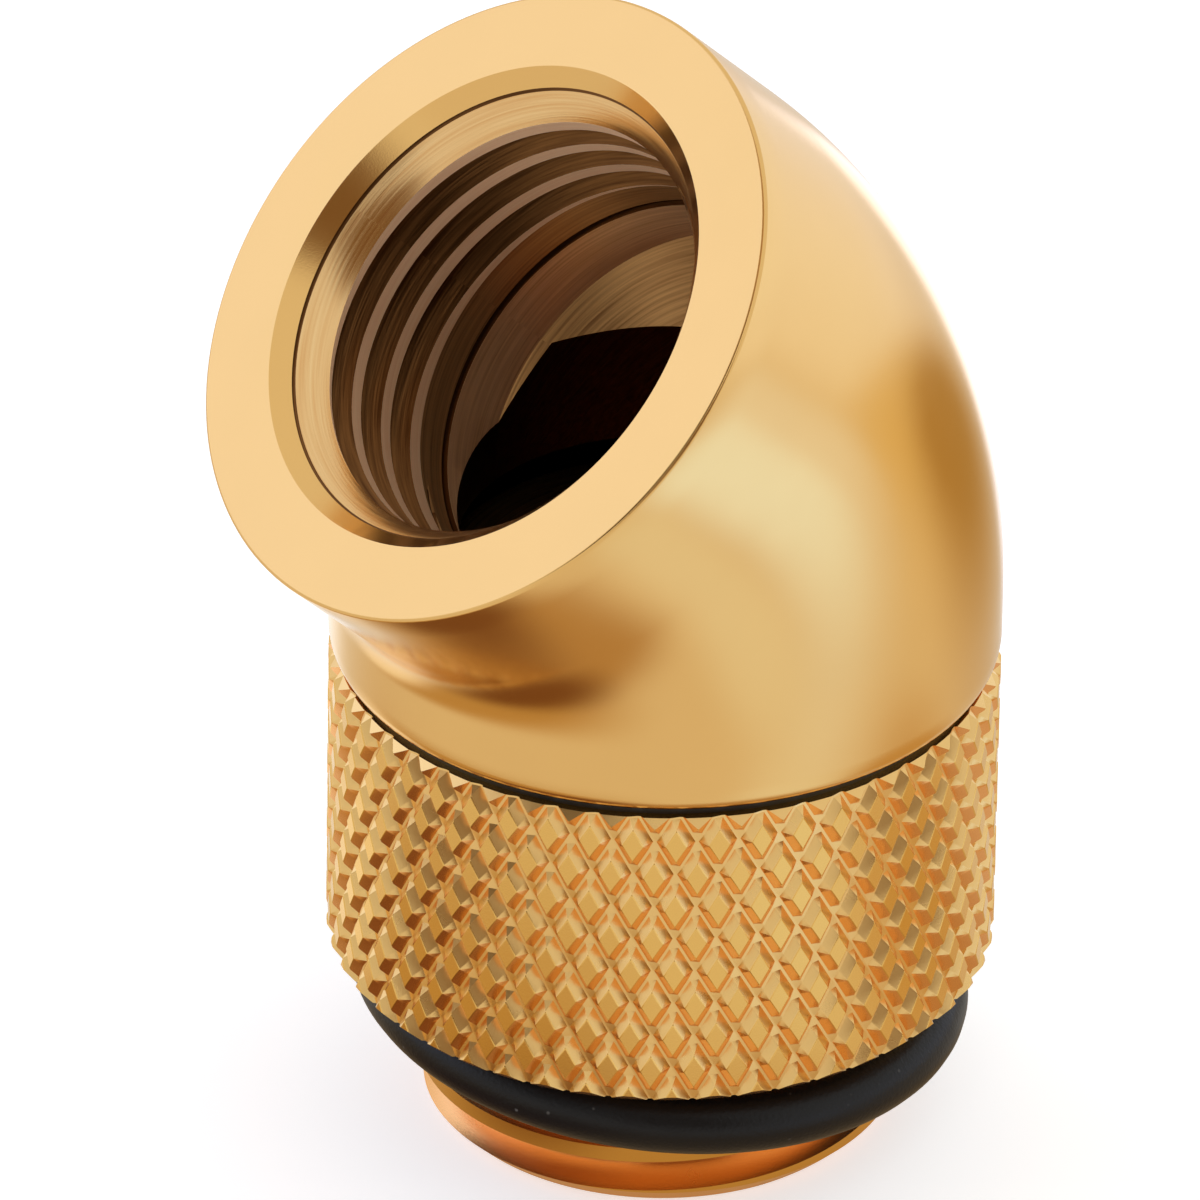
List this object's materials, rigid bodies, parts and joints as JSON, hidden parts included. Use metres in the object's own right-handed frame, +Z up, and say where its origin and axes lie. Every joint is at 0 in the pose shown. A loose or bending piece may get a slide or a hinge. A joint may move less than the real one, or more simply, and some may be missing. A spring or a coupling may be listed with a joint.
{
  "type": "rotary elbow fitting",
  "caption": "Gold plated 45 degree rotary pipe adapter: angled body with a female threaded port that swivels on a diamond-knurled collar with a male thread and face seal.",
  "frame": {"origin": "centre of the collar's flat underside, the face that seals against the block or reservoir", "axes": "+Z up the swivel axis, away from the male thread; the port leans 45 degrees from +Z towards -Y at rest; +X to the right"},
  "size_m": [0.018, 0.0214, 0.0327],
  "materials": {
    "gold_plate": "gold plated, smooth satin",
    "gold_plate_knurled": "gold plated over a diamond knurl",
    "bare_brass": "turned",
    "seal_rubber": "glossy, slightly dusty",
    "spring_steel": "bright spring steel",
    "black_plastic": "matte",
    "white_plastic": "waxy, matte"
  },
  "bodies": {
    "base": {"threaded_base": "gold_plate_knurled", "face_seal": "seal_rubber", "thrust_washer": "black_plastic", "bearing_washer": "white_plastic"},
    "elbow": {"elbow_body": "gold_plate", "swivel_stem": "bare_brass", "swivel_seal_upper": "seal_rubber", "swivel_seal_lower": "seal_rubber", "retaining_ring": "spring_steel"}
  },
  "joints": [
    {"name": "swivel", "type": "hinge", "parent": "base", "child": "elbow", "pos_m": [0, 0, 0.009], "axis": [0, 0, 1], "continuous": true}
  ]
}
